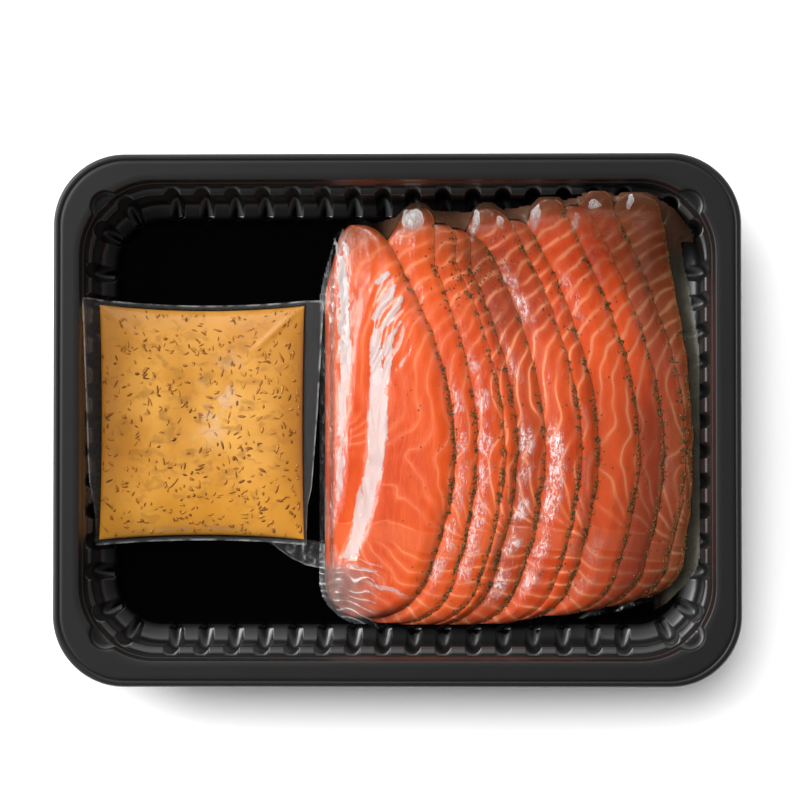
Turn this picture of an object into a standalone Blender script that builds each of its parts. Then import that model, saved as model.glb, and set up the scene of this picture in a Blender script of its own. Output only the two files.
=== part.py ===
# Gravlax pack: a black moulded tray, eleven shingled slices of cured fish and a sachet of sauce.
# Metres, +Z up. The origin is the middle of the tray's underside. +X runs along the tray,
# from the sachet to the slices, and +Y to the side where the slices' tips lean on the wall.

from collections import namedtuple
from math import cos, degrees, hypot, pi, radians, sin, sqrt

import bmesh
import bpy

MM = 0.001

# Tray, in millimetres
TRAY_LENGTH = 227.0
TRAY_WIDTH = 176.0
TRAY_HEIGHT = 33.0
WALL = 0.6
HEM = 3.0                   # how far the flange's outer edge turns down
FLANGE_WIDTH = 8.6          # from the outer edge to the mouth
EDGE_ROUND = 0.6            # rounding of the flange's two edges
RIM_CORNER = 23.6           # radius of the outer corners
MOUTH_CORNER = 31.0         # radius of the mouth's corners, were it as wide as the tray
CORNER_DRAW = 0.7           # how much tighter a corner gets for each millimetre further in
LEDGE_HEIGHT = 24.0         # the step between the fluted wall and the upper wall
FLOOR_REACH = 15.3          # flat floor, out from the corner centres
COVE_RADIUS = 4.0
WALL_FOOT = 19.2            # reach of the fluted wall where the cove ends
LEDGE_REACH = 22.5          # reach of the fluted wall at the ledge
CORNER_X = 79.3             # centres of the lower corners
CORNER_Y = 52.6

# Flutes pressed outwards into the lower wall
FLUTE_PITCH = 10.0
FLUTE_WIDTH = 4.6
FLUTE_DEPTH = 2.1
FLUTES_LONG = 16
FLUTES_SHORT = 11
FLUTE_CORNER_ANGLES = (30.0, 60.0)

# Round stacking pockets in the flange's inner corners
POCKET_RADIUS = 5.3
POCKET_INSET = 17.3         # from both outer edges
POCKET_DEPTH = 4.0

# Slices, number one on top at the left, number eleven at the bottom on the right
SLICE_PITCH_HIDDEN = 7.9    # between the left edges, which lie under the stack
LAYER = 2.7                 # height that each slice adds to the stack
LAYER_SOFT = 0.7            # layers over which the stack's slope levels out
SLICE_GAP = 0.65            # film and brine between two slices
FIRST_LEFT = -25.0          # left edge of the top slice
REST_GAP = 0.35             # stack's underside above the tray's floor
BOW_CENTRE = -9.6
BOW_SCALE = 0.009
BOW_POWER = 1.82
LOBE_HALF_WIDTH = 5.5       # half the width of a slice's narrow tip
LOBE_START = 40.0           # where the left side starts to draw in towards the tip
SHOULDER = 1.37             # how far the right side widens for each step down from the tip
TAIL_ROUND = 14.0           # how early the broad end starts to round off

Slice = namedtuple("Slice", "right tip_x tip_y tail_y bow")
SLICES = (
    Slice(19.2, -14.4, 66.7, -66.2, 1.12),
    Slice(26.6, 6.5, 71.8, -68.0, 0.9),
    Slice(35.9, 13.8, 66.2, -68.5, 1.0),
    Slice(39.9, 18.8, 64.5, -68.5, 1.0),
    Slice(49.2, 22.4, 63.0, -68.5, 1.0),
    Slice(61.2, 29.7, 71.4, -68.2, 1.0),
    Slice(66.9, 38.7, 67.3, -67.0, 1.0),
    Slice(80.6, 50.3, 73.8, -65.5, 1.0),
    Slice(89.0, 58.6, 71.4, -64.0, 1.0),
    Slice(96.3, 66.2, 76.2, -62.5, 0.95),
    Slice(98.6, 77.5, 75.2, -60.0, 0.45),
)

# Rows across a slice that every slice shares, so that neighbours bend alike
SHARED_ROWS = (-45.0, -32.0, -18.0, -4.0, 10.0, 24.0, 36.0, 43.0, 48.0, 53.0, 58.0)
TAIL_SHARES = (0.0, 0.06, 0.25, 0.6)
TIP_SHARES = (0.5, 0.85, 1.0)
ACROSS = (-1.0, -0.75, -0.25, 0.25, 0.75, 1.0)

# The far corner of the stack leans up the tray's wall
RAMP_START = 50.0
RAMP_SOFT = 8.0
RAMP_LENGTH = 25.5
RAMP_RISE = 24.2            # at the end of the ramp, under the tenth slice's tip
RAMP_FROM_X = -20.0
RAMP_FULL_X = 66.0
SIDE_START = 84.0
SIDE_LENGTH = 12.0
SIDE_RISE = 3.0
THIN_END = 0.45             # share of its thickness that a slice loses towards the tip
THIN_RUN = 19.0             # over how long a stretch
RIM_THICK = 0.55            # share of its thickness that a slice keeps at its edge
TAIL_WIDTH = 0.32           # share of its width that a slice keeps at its broad end
TIP_WIDTH = 0.45            # and at its tip

# Sachet of sauce, its left side leaning up the tray's wall
SACHET_CENTRE = (-65.6, -0.4)
SACHET_HALF = (34.2, 39.4)
SACHET_HALF_THICK = 5.8
SACHET_DIP = 0.0045         # curve of its middle plane along X
SACHET_LEAN = 0.13
SACHET_WAIST = 1.6          # how far its ends draw in between the corners
SACHET_WAIST_SIDE = 0.64    # and its sides
SACHET_SQUARE = 0.6         # the smaller, the squarer the pillow
SEAL_HALF_THICK = 0.3
LEFT_SEAL = (0.7, 4.0)      # width seen from above, at its near and its far end
RIGHT_SEAL = (0.9, 6.2)
SEAL_STAND = 14.0           # how far the left seal stands up the wall at its far end
SEAL_STAND_NEAR = 0.35      # share of that at its near end
SEAL_END = 1.6

# Clear margin of the slices' vacuum pouch, on the floor at the near left corner
MARGIN_WIDTH = 2.8
MARGIN_TOP = 40.0
MARGIN_HALF_THICK = 0.25
MARGIN_LIFT = 1.1
MARGIN_WAVE = 0.5
MARGIN_CLEAR = 0.6
MARGIN_COLUMNS = 5


def clear_scene():
    for old in list(bpy.data.objects):
        bpy.data.objects.remove(old, do_unlink=True)


def make_collection(name):
    group = bpy.data.collections.new(name)
    bpy.context.scene.collection.children.link(group)
    return group


def make_material(name, color, roughness, metallic=0.0):
    material = bpy.data.materials.new(name)
    material.use_nodes = True
    shader = material.node_tree.nodes["Principled BSDF"]
    shader.inputs["Base Color"].default_value = (*color, 1.0)
    shader.inputs["Roughness"].default_value = roughness
    shader.inputs["Metallic"].default_value = metallic
    return material


def make_object(name, mesh_data, material, group):
    mesh = bpy.data.meshes.new(name)
    mesh_data.to_mesh(mesh)
    mesh_data.free()
    mesh.materials.append(material)
    part = bpy.data.objects.new(name, mesh)
    group.objects.link(part)
    return part


def smooth_step(start, end, value):
    share = min(max((value - start) / (end - start), 0.0), 1.0)
    return share * share * (3.0 - 2.0 * share)


def soft_above(value, width):
    """Zero below, the value itself above, with a parabola between."""
    if value <= -width:
        return 0.0
    if value >= width:
        return value
    return (value + width) ** 2 / (4.0 * width)


# Tray: one sheet from the floor over the flange to the hem, which Solidify thickens

Level = namedtuple("Level", "half_x half_y radius z flute pocket")
Column = namedtuple("Column", "base_x base_y dir_x dir_y flute")


def lower_level(reach, z, flute=0.0):
    return Level(CORNER_X + reach, CORNER_Y + reach, reach, z, flute, False)


def upper_level(inset, corner, z, pocket=False):
    radius = corner - CORNER_DRAW * inset
    return Level(TRAY_LENGTH / 2 - inset, TRAY_WIDTH / 2 - inset, radius, z, 0.0, pocket)


def cove_height(reach):
    run = reach - FLOOR_REACH
    return WALL + COVE_RADIUS - sqrt(COVE_RADIUS ** 2 - run ** 2)


def tray_levels():
    top = TRAY_HEIGHT
    shelf = top - POCKET_DEPTH
    foot = cove_height(FLOOR_REACH + 3.6) + 0.9
    return (
        lower_level(FLOOR_REACH, WALL),
        lower_level(FLOOR_REACH + 2.0, cove_height(FLOOR_REACH + 2.0)),
        lower_level(FLOOR_REACH + 3.3, cove_height(FLOOR_REACH + 3.3)),
        lower_level(WALL_FOOT, foot, 1.0),
        lower_level(LEDGE_REACH - 0.4, LEDGE_HEIGHT - 2.4, 1.0),
        lower_level(LEDGE_REACH, LEDGE_HEIGHT, 0.4),
        upper_level(FLANGE_WIDTH + 2.3, MOUTH_CORNER, LEDGE_HEIGHT + 0.5),
        upper_level(FLANGE_WIDTH + 1.0, MOUTH_CORNER, shelf),
        upper_level(FLANGE_WIDTH + 1.0, MOUTH_CORNER, shelf, True),
        upper_level(FLANGE_WIDTH, MOUTH_CORNER, top - EDGE_ROUND, True),
        upper_level(FLANGE_WIDTH - EDGE_ROUND, MOUTH_CORNER, top, True),
        upper_level(2.0 * EDGE_ROUND, RIM_CORNER, top),
        upper_level(EDGE_ROUND, RIM_CORNER, top - 0.4),
        upper_level(0.0, RIM_CORNER, top - HEM),
    )


def side_columns(half_length, flute_count, turn):
    """Columns along the straight part of one wall, turned a number of quarter turns."""
    fixed = (CORNER_X, CORNER_Y, CORNER_X, CORNER_Y)[turn]
    first = -FLUTE_PITCH * (flute_count - 1) / 2
    stops = [(-half_length, 0.0)]
    for index in range(flute_count):
        middle = first + index * FLUTE_PITCH
        for offset, depth in ((-0.5, 0.0), (-0.25, 1.0), (0.25, 1.0), (0.5, 0.0)):
            stops.append((middle + offset * FLUTE_WIDTH, depth))
    stops.append((half_length, 0.0))
    angle = turn * pi / 2
    dir_x = round(cos(angle))
    dir_y = round(sin(angle))
    return [Column(fixed * dir_x - along * dir_y, fixed * dir_y + along * dir_x,
                   dir_x, dir_y, depth) for along, depth in stops]


def corner_columns(turn):
    """Columns round one corner, without those that the straight walls end on."""
    half_angle = degrees(FLUTE_WIDTH / 2 / (WALL_FOOT + 1.0))
    stops = [(8.0, 0.0), (16.0, 0.0), (41.0, 0.0), (45.0, 0.0), (49.0, 0.0),
             (74.0, 0.0), (82.0, 0.0)]
    for middle in FLUTE_CORNER_ANGLES:
        for offset, depth in ((-1.0, 0.0), (-0.5, 1.0), (0.5, 1.0), (1.0, 0.0)):
            stops.append((middle + offset * half_angle, depth))
    sign_x = (1, -1, -1, 1)[turn]
    sign_y = (1, 1, -1, -1)[turn]
    columns = []
    for stop, depth in sorted(stops):
        angle = turn * pi / 2 + radians(stop)
        columns.append(Column(sign_x * CORNER_X, sign_y * CORNER_Y,
                              cos(angle), sin(angle), depth))
    return columns


def tray_columns():
    columns = []
    for turn in range(4):
        if turn % 2:
            columns += side_columns(CORNER_X, FLUTES_LONG, turn)
        else:
            columns += side_columns(CORNER_Y, FLUTES_SHORT, turn)
        columns += corner_columns(turn)
    return columns


def outside_distance(x, y, level):
    """How far a point lies outside a level's rounded rectangle; negative inside."""
    over_x = abs(x) - (level.half_x - level.radius)
    over_y = abs(y) - (level.half_y - level.radius)
    corner = hypot(max(over_x, 0.0), max(over_y, 0.0))
    return corner + min(max(over_x, over_y), 0.0) - level.radius


def reach_to_level(column, level):
    low, high = 0.0, 60.0
    for _ in range(40):
        middle = (low + high) / 2
        x = column.base_x + middle * column.dir_x
        y = column.base_y + middle * column.dir_y
        if outside_distance(x, y, level) < 0.0:
            low = middle
        else:
            high = middle
    return low


def reach_to_pocket(column):
    """Far side of the stacking pocket along a column, or zero where it misses."""
    across_x = abs(column.base_x) - (TRAY_LENGTH / 2 - POCKET_INSET)
    across_y = abs(column.base_y) - (TRAY_WIDTH / 2 - POCKET_INSET)
    along = -across_x * abs(column.dir_x) - across_y * abs(column.dir_y)
    beside = across_x ** 2 + across_y ** 2 - along ** 2
    if beside >= POCKET_RADIUS ** 2:
        return 0.0
    return along + sqrt(POCKET_RADIUS ** 2 - beside)


def tray_point(column, level):
    reach = reach_to_level(column, level) + level.flute * column.flute * FLUTE_DEPTH
    if level.pocket:
        reach = max(reach, reach_to_pocket(column))
    return (MM * (column.base_x + reach * column.dir_x),
            MM * (column.base_y + reach * column.dir_y), MM * level.z)


def make_tray(group):
    columns = tray_columns()
    mesh = bmesh.new()
    rings = [[mesh.verts.new(tray_point(column, level)) for column in columns]
             for level in tray_levels()]
    mesh.faces.new(rings[0])
    for lower, upper in zip(rings, rings[1:]):
        for index in range(len(columns)):
            after = (index + 1) % len(columns)
            mesh.faces.new((lower[after], lower[index], upper[index], upper[after]))
    bmesh.ops.remove_doubles(mesh, verts=mesh.verts, dist=0.02 * MM)
    bmesh.ops.dissolve_limit(mesh, angle_limit=radians(0.6), verts=mesh.verts, edges=mesh.edges)
    material = make_material("black_moulded_plastic", (0.012, 0.012, 0.013), 0.3)
    tray = make_object("tray", mesh, material, group)
    shell = tray.modifiers.new("wall", "SOLIDIFY")
    shell.thickness = WALL * MM
    shell.offset = -1.0
    shell.use_even_offset = True
    return tray


# Slices: slabs that climb over each other, all parallel to one sloping surface

def layers_below(x):
    """Layers from the floor up to the first slice: grows with x, level past the last slice."""
    most = len(SLICES) - 1 + LAYER_SOFT
    climb = (x - FIRST_LEFT) / SLICE_PITCH_HIDDEN
    return most - soft_above(most - climb, LAYER_SOFT)


def rest_height(x, y):
    """Height of the surface that the stack lies on: floor, then up the walls."""
    ramp = soft_above(y - RAMP_START, RAMP_SOFT) / RAMP_LENGTH
    share = max(x - RAMP_FROM_X, 0.0) / (RAMP_FULL_X - RAMP_FROM_X)
    side = max(x - SIDE_START, 0.0) / SIDE_LENGTH
    return WALL + REST_GAP + RAMP_RISE * ramp * share + SIDE_RISE * side ** 2


def layer_height(y):
    share = min(max((y - SHARED_ROWS[-1]) / THIN_RUN, 0.0), 1.0)
    return LAYER * (1.0 - THIN_END * share)


def slice_edges(index, y):
    """Left and right edge of a slice at y."""
    piece = SLICES[index]
    left = FIRST_LEFT + index * SLICE_PITCH_HIDDEN
    left += (piece.tip_x - LOBE_HALF_WIDTH - left) * smooth_step(LOBE_START, piece.tip_y, y)
    bowed = piece.right - piece.bow * BOW_SCALE * abs(y - BOW_CENTRE) ** BOW_POWER
    lobe = piece.tip_x + LOBE_HALF_WIDTH
    right = min(max(bowed, lobe), lobe + SHOULDER * (piece.tip_y - y))
    middle = (left + right) / 2
    half = (right - left) / 2
    from_tail = min((y - piece.tail_y) / TAIL_ROUND, 1.0)
    from_tip = min((piece.tip_y - y) / LOBE_HALF_WIDTH, 1.0)
    half *= max(sqrt(1.0 - (1.0 - from_tail) ** 2), TAIL_WIDTH)
    half *= max(sqrt(1.0 - (1.0 - from_tip) ** 2), TIP_WIDTH)
    return middle - half, middle + half


def slice_rows(index):
    piece = SLICES[index]
    tail = [piece.tail_y + (SHARED_ROWS[0] - piece.tail_y) * share for share in TAIL_SHARES]
    tip = [SHARED_ROWS[-1] + (piece.tip_y - SHARED_ROWS[-1]) * share for share in TIP_SHARES]
    return tail + list(SHARED_ROWS) + tip


def make_slab(columns, rows):
    """A flat grid and its extruded copy; corners carry column, row and side numbers."""
    mesh = bmesh.new()
    bmesh.ops.create_grid(mesh, x_segments=columns - 1, y_segments=rows - 1, size=1.0)
    for vert in mesh.verts:
        vert.co.x = round((vert.co.x + 1.0) / 2.0 * (columns - 1))
        vert.co.y = round((vert.co.y + 1.0) / 2.0 * (rows - 1))
    grown = bmesh.ops.extrude_face_region(mesh, geom=mesh.faces[:])
    for item in grown["geom"]:
        if isinstance(item, bmesh.types.BMVert):
            item.co.z = 1.0
    bmesh.ops.recalc_face_normals(mesh, faces=mesh.faces)
    return mesh


def make_slice(index, material, group):
    rows = slice_rows(index)
    mesh = make_slab(len(ACROSS), len(rows))
    for vert in mesh.verts:
        column, row, side = (round(value) for value in vert.co)
        y = rows[row]
        left, right = slice_edges(index, y)
        x = (left + right) / 2 + ACROSS[column] * (right - left) / 2
        layer = layer_height(y)
        z = rest_height(x, y) + layer * max(layers_below(x) - index, 0.0)
        rim = column in (0, len(ACROSS) - 1) or row in (0, len(rows) - 1)
        thick = (layer - SLICE_GAP) * (RIM_THICK if rim else 1.0)
        vert.co = (MM * x, MM * y, MM * (z + side * thick))
    return make_object(f"slice_{index + 1:02d}", mesh, material, group)


# Sachet: a pillow with flat seals along both sides

def sachet_point(across, along, side):
    """Place of a point of the sachet; across and along run past 1 into the seals."""
    inner_x = max(min(across, 1.0), -1.0)
    inner_y = max(min(along, 1.0), -1.0)
    x = inner_x * (SACHET_HALF[0] - SACHET_WAIST_SIDE * (1.0 - inner_y ** 2))
    y = inner_y * (SACHET_HALF[1] - SACHET_WAIST * (1.0 - inner_x ** 2))
    bulge = ((1.0 - inner_x ** 4) * (1.0 - inner_y ** 4)) ** SACHET_SQUARE
    half = SEAL_HALF_THICK + (SACHET_HALF_THICK - SEAL_HALF_THICK) * bulge
    lowest = SACHET_LEAN / (2.0 * SACHET_DIP)
    z = WALL + REST_GAP + SACHET_HALF_THICK + SACHET_DIP * (x - lowest) ** 2
    past = abs(across) - abs(inner_x)
    upper = smooth_step(-1.2, 0.6, inner_y)
    if across < 0:
        x -= past * (LEFT_SEAL[0] + (LEFT_SEAL[1] - LEFT_SEAL[0]) * upper)
        z += SEAL_STAND * (SEAL_STAND_NEAR + (1.0 - SEAL_STAND_NEAR) * upper) * sqrt(past)
    else:
        x += past * (RIGHT_SEAL[0] + (RIGHT_SEAL[1] - RIGHT_SEAL[0]) * upper)
    y += SEAL_END * (along - inner_y)
    return SACHET_CENTRE[0] + x, SACHET_CENTRE[1] + y, z + half * (2 * side - 1)


def make_sachet(group):
    pillow = (-1.0, -0.93, -0.78, -0.5, -0.17, 0.17, 0.5, 0.78, 0.93, 1.0)
    columns = (-2.0, -1.35) + pillow + (2.0,)
    rows = (-2.0,) + pillow + (2.0,)
    mesh = make_slab(len(columns), len(rows))
    for vert in mesh.verts:
        column, row, side = (round(value) for value in vert.co)
        place = sachet_point(columns[column], rows[row], side)
        vert.co = [MM * value for value in place]
    material = make_material("mustard_sauce", (0.62, 0.3, 0.05), 0.35)
    return make_object("sauce_sachet", mesh, material, group)


# Margin of the vacuum pouch: a thin wavy sheet beside the top slice

def make_margin(group):
    rows = [y for y in slice_rows(0) if y < MARGIN_TOP]
    outer = FIRST_LEFT - MARGIN_WIDTH
    mesh = make_slab(MARGIN_COLUMNS, len(rows))
    for vert in mesh.verts:
        column, row, side = (round(value) for value in vert.co)
        inner = slice_edges(0, rows[row])[0] - MARGIN_CLEAR
        x = outer + (inner - outer) * column / (MARGIN_COLUMNS - 1)
        z = WALL + REST_GAP + MARGIN_LIFT + MARGIN_WAVE * sin(0.55 * x + 0.4 * rows[row])
        z += MARGIN_HALF_THICK * (2 * side - 1)
        vert.co = (MM * x, MM * rows[row], MM * z)
    material = make_material("clear_film", (0.5, 0.5, 0.5), 0.1)
    return make_object("pouch_margin", mesh, material, group)


def main():
    clear_scene()
    group = make_collection("gravlax_pack")
    make_tray(group)
    fish = make_material("cured_fish", (0.75, 0.13, 0.04), 0.35)
    for index in range(len(SLICES)):
        make_slice(index, fish, group)
    make_sachet(group)
    make_margin(group)


main()
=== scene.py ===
# Gravlax pack: black moulded tray, eleven cured slices under clear film, sachet of mustard dill sauce.
import math

import bpy
import numpy as np
from mathutils import Matrix, Vector


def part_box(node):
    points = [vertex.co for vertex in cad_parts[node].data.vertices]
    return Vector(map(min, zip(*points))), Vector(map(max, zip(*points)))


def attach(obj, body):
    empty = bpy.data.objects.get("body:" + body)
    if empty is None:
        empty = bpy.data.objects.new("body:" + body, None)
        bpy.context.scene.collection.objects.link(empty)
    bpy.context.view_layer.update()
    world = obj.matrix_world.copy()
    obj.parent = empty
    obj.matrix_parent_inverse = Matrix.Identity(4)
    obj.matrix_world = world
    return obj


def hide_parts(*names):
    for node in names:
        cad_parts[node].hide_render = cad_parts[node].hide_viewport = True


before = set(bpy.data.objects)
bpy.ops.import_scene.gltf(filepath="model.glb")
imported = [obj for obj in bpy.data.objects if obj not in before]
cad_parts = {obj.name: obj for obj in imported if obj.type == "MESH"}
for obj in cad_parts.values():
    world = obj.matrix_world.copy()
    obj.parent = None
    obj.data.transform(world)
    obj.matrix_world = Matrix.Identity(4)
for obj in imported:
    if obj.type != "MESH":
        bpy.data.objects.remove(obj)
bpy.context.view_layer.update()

mm = 0.001
random = np.random.default_rng(27)


# Shader maths: a wire is one socket, and Python's operators on wires add Math nodes

class Wire:
    def __init__(self, look, socket):
        self.look = look
        self.socket = socket

    def __add__(self, other):
        return self.look.math("ADD", self, other)

    def __radd__(self, other):
        return self.look.math("ADD", other, self)

    def __sub__(self, other):
        return self.look.math("SUBTRACT", self, other)

    def __rsub__(self, other):
        return self.look.math("SUBTRACT", other, self)

    def __mul__(self, other):
        return self.look.math("MULTIPLY", self, other)

    def __rmul__(self, other):
        return self.look.math("MULTIPLY", other, self)


class Look:  # a material, or the world, and its node tree
    def __init__(self, name, owners="materials", shader="Principled BSDF"):
        self.owner = getattr(bpy.data, owners).new(name)
        self.owner.use_nodes = True
        self.tree = self.owner.node_tree
        self.shader = self.tree.nodes[shader]

    def node(self, kind, settings=None, values=None, output=0):
        made = self.tree.nodes.new(kind)
        for key, value in (settings or {}).items():
            if key == "stops":
                self.setStops(made.color_ramp, value)
            else:
                setattr(made, key, value)
        for key, value in (values or {}).items():
            self.feed(made.inputs[key], value)
        return Wire(self, made.outputs[output])

    def setStops(self, ramp, stops):
        while len(ramp.elements) < len(stops):
            ramp.elements.new(0.5)
        for element, (place, color) in zip(ramp.elements, stops):
            element.position = place
            element.color = (*color, 1)

    def feed(self, socket, value):
        if isinstance(value, Wire):
            self.tree.links.new(value.socket, socket)
        elif hasattr(socket.default_value, "__len__") and len(value) < len(socket.default_value):
            socket.default_value = (*value, 1)
        else:
            socket.default_value = value

    def set(self, **values):
        for key, value in values.items():
            self.feed(self.shader.inputs[key.replace("_", " ")], value)

    def math(self, operation, *values):
        return self.node("ShaderNodeMath", {"operation": operation}, dict(enumerate(values)))

    def largest(self, value, *others):
        for other in others:
            value = self.math("MAXIMUM", value, other)
        return value

    def step(self, value, start, end, low=0, high=1):  # smooth step from low at start to high at end
        values = dict(enumerate((value, start, end, low, high)))
        return self.node("ShaderNodeMapRange", {"interpolation_type": "SMOOTHSTEP"}, values)

    def mix(self, share, first, second, blend="MIX"):
        settings = {"data_type": "RGBA", "blend_type": blend}
        return self.node("ShaderNodeMix", settings, {0: share, 6: first, 7: second}, 2)

    def ramp(self, value, stops):
        return self.node("ShaderNodeValToRGB", {"stops": stops}, {0: value})

    def place(self, stretch=(1, 1, 1)):  # Object coordinates, stretched
        point = self.node("ShaderNodeTexCoord", output=3)
        return self.node("ShaderNodeMapping", None, {"Vector": point, "Scale": stretch})

    def noise(self, scale, stretch=(1, 1, 1), detail=3, rough=0.5, twist=0):
        values = {"Vector": self.place(stretch), "Scale": scale, "Detail": detail,
                  "Roughness": rough, "Distortion": twist}
        return self.node("ShaderNodeTexNoise", None, values)

    def attributes(self, *names):
        return [self.node("ShaderNodeAttribute", {"attribute_name": name}, output=2) for name in names]

    def bump(self, height, depth, strength=1):
        values = {"Strength": strength, "Distance": depth, "Height": height}
        return self.node("ShaderNodeBump", None, values)


# Mesh helpers

def addObject(data, place=Matrix()):
    made = bpy.data.objects.new(data.name, data)
    bpy.context.scene.collection.objects.link(made)
    made.matrix_world = place
    return made


def addGrid(name, columns, rows):
    bpy.ops.object.select_all(action="DESELECT")
    bpy.ops.mesh.primitive_grid_add(x_subdivisions=columns, y_subdivisions=rows, size=2.0)
    piece = bpy.context.active_object
    piece.name = name
    piece.data.name = name
    return piece


def faceOutwards():  # in Edit Mode, which it leaves
    bpy.ops.mesh.select_all(action="SELECT")
    bpy.ops.mesh.normals_make_consistent(inside=False)
    bpy.ops.object.mode_set(mode="OBJECT")


def addSlab(name, columns, rows):  # a grid and its extruded copy, z 0 and 1
    piece = addGrid(name, columns, rows)
    bpy.ops.object.mode_set(mode="EDIT")
    bpy.ops.mesh.select_all(action="SELECT")
    bpy.ops.mesh.extrude_region_move(TRANSFORM_OT_translate={"value": (0.0, 0.0, 1.0)})
    faceOutwards()
    return piece


def getPoints(piece):  # a row each of x, y and z
    points = np.empty(len(piece.data.vertices) * 3)
    piece.data.vertices.foreach_get("co", points)
    return points.reshape(-1, 3).T


def setPoints(piece, x, y, z):  # in millimetres
    points = np.stack([x, y, z], axis=1) * mm
    piece.data.vertices.foreach_set("co", points.ravel())
    piece.data.update()


def setValues(piece, **values):  # attributes for the shaders
    for name, value in values.items():
        layer = piece.data.attributes.new(name, "FLOAT", "POINT")
        layer.data.foreach_set("value", np.asarray(value, np.float32))


def dress(piece, look, slot, *nodes):  # material, body, slot (not used) and the CAD nodes it stands for
    piece.data.materials.clear()
    piece.data.materials.append(look.owner)
    piece.data.shade_smooth()
    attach(piece, "root")
    if nodes:
        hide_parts(*nodes)


def clamp(value):
    return np.clip(value, 0, 1)


def smoothStep(start, end, value):
    share = clamp((value - start) / (end - start))
    return share * share * (3 - 2 * share)


def band(value, start, full, fading, end):
    return smoothStep(start, full, value) * smoothStep(end, fading, value)


def towardsEnds(place, ease=0.5):  # draws places between -1 and 1 towards both ends
    return (1 - ease) * place + ease * np.sin(place * math.pi / 2)


def ripples(x, y, waves, seed):  # smooth random relief, about -1 to 1; waves in millimetres
    draw = np.random.default_rng(seed)
    total = np.zeros(np.broadcast(x, y).shape)
    for wave in waves:
        for _ in range(5):
            angle = draw.uniform(0, math.pi)
            phase = draw.uniform(0, math.tau)
            length = wave * draw.uniform(0.75, 1.3)
            run = (x * math.cos(angle) + y * math.sin(angle)) * math.tau / length
            total += np.sin(run + phase) / (2.5 * len(waves))
    return total


# Tray

tray = {
    "length": 227, "width": 176, "height": 33, "wall": 0.6,
    "flange": 8.6, "ledge": 24, "cornerX": 79.3, "cornerY": 52.6,
    "floorReach": 15.3, "wallFoot": 19.2, "ledgeReach": 22.5,
    "coveSlopes": ((15.3, 10), (16.3, 13), (17.3, 16), (18.3, 19), (19.3, 23), (20.1, 29), (20.8, 41),
                   (21.3, 57), (21.6, 71), (21.75, 82)),
    "flutePitch": 10, "fluteWidth": 5.4, "fluteDepth": 2.3, "fluteRound": (17, 1),
    "fluteFloor": ((15.3, 0.6), (16, 0.4), (16.5, 0.12), (17.2, 0.16), (18.4, 0.42), (20, 0.8),
                   (21.5, 1.2), (22.7, 1.65), (23.5, 2.3), (24.05, 3.2)),
    "flutesLong": 16, "flutesShort": 11, "cornerFlutes": (30, 60),
    "pocketRadius": 4.9, "pocketInset": 17.3, "pocketDepth": 4,
    "rimCorner": 23.6, "mouthCorner": 31, "cornerDraw": 0.7,
    # profiles: inset from the flange and rise, then share of the flutes (over the ledge) or of the pockets
    "overLedge": ((2.35, 0.15, 0.75), (2.2, 0.7, 0.55), (2, 1.5, 0.25), (1.8, 2.3, 0.05)),
    "atShelf": ((1.4, -1.2, 0), (1.08, -0.15, 0), (1.04, -0.02, 0.3), (1.02, 0, 0.6), (1, 0, 0.95),
                (0.8, 0.35, 1)),
    "atMouth": ((0.25, -1, 1.02), (0.08, -0.4, 1.04), (-0.08, -0.1, 1.06), (-0.35, 0, 1.09),
                (-2.2, 0, 1.12)),
    # rim and its groove: inset from the outside and drop
    "rim": ((3.6, 0), (2.75, 0), (2.6, 0.08), (2.45, 0.4), (2.3, 0.55), (2.15, 0.5), (1.95, 0.25),
            (1.8, 0.06), (1.6, 0.02), (1.1, 0.04), (0.7, 0.12), (0.42, 0.35), (0.22, 0.8), (0.08, 1.5),
            (0.02, 2.2), (0, 3)),
}
fluteSteps = np.array([-1.1, -1, -0.93, -0.82, -0.66, -0.44, -0.22, 0,
                       0.22, 0.44, 0.66, 0.82, 0.93, 1, 1.1])


def coveProfile():  # reach and height of the round foot of the wall
    reach = np.linspace(tray["coveSlopes"][0][0], tray["coveSlopes"][-1][0], 22)
    places, slopes = zip(*tray["coveSlopes"])
    rise = np.tan(np.radians(np.interp((reach[1:] + reach[:-1]) / 2, places, slopes))) * np.diff(reach)
    return reach, tray["wall"] + np.concatenate([[0], np.cumsum(rise)])


def fluteColumns():  # base point, direction and place across a flute of every column
    plain = 9  # place of a column between the flutes
    pitch = tray["flutePitch"]
    across = tray["fluteWidth"] / 2
    turned = math.degrees(across / (tray["wallFoot"] + 1))
    columns = []
    for turn in range(4):
        keys = ("flutesLong", "cornerX", "cornerY") if turn % 2 else ("flutesShort", "cornerY", "cornerX")
        count, half, fixed = (tray[key] for key in keys)
        dirX = round(math.cos(turn * math.pi / 2))
        dirY = round(math.sin(turn * math.pi / 2))
        stops = [(-half, plain), (half, plain)]
        for index in range(count):
            middle = (index - (count - 1) / 2) * pitch
            stops += zip(middle + fluteSteps * across, fluteSteps)
            stops += [(middle + pitch * share, plain) for share in (0.38, 0.62)]
        for along, deep in sorted(stops):
            if abs(along) <= half:
                columns.append((fixed * dirX - along * dirY, fixed * dirY + along * dirX, dirX, dirY, deep))
        signX, signY = ((1, 1), (-1, 1), (-1, -1), (1, -1))[turn]
        corner = [(angle, plain) for angle in np.arange(2.5, 88, 2.5)
                  if min(abs(angle - middle) for middle in tray["cornerFlutes"]) > turned * 1.2]
        for middle in tray["cornerFlutes"]:
            corner += zip(middle + fluteSteps * turned, fluteSteps)
        for angle, deep in sorted(corner):
            angle = math.radians(angle) + turn * math.pi / 2
            columns.append((signX * tray["cornerX"], signY * tray["cornerY"],
                            math.cos(angle), math.sin(angle), deep))
    return np.array(columns).T


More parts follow.
